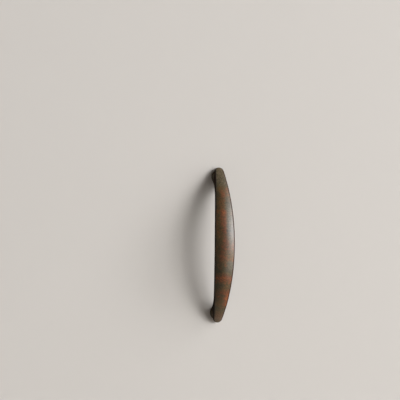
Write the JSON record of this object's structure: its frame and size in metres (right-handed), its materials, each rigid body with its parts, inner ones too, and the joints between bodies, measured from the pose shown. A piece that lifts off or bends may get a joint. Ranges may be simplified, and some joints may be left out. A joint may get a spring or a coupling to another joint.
{
  "type": "arch pull",
  "caption": "Arched cabinet pull: a bow with a crowned front that narrows to two rounded tips and sweeps down behind into two round feet, tapped for screws from behind.",
  "frame": {"origin": "on the face that the pull is fixed to, half way between the two screw centres", "axes": "+Z along the pull, +Y into what it is fixed to, so the bow stands out towards -Y, +X across the pull"},
  "size_m": [0.0134, 0.0245, 0.1098],
  "materials": {
    "patina": "antiqued copper plate on a zinc casting, mottled brown, olive and copper red under a satin lacquer"
  },
  "bodies": {
    "root": {"arch_pull": "patina"}
  },
  "joints": []
}
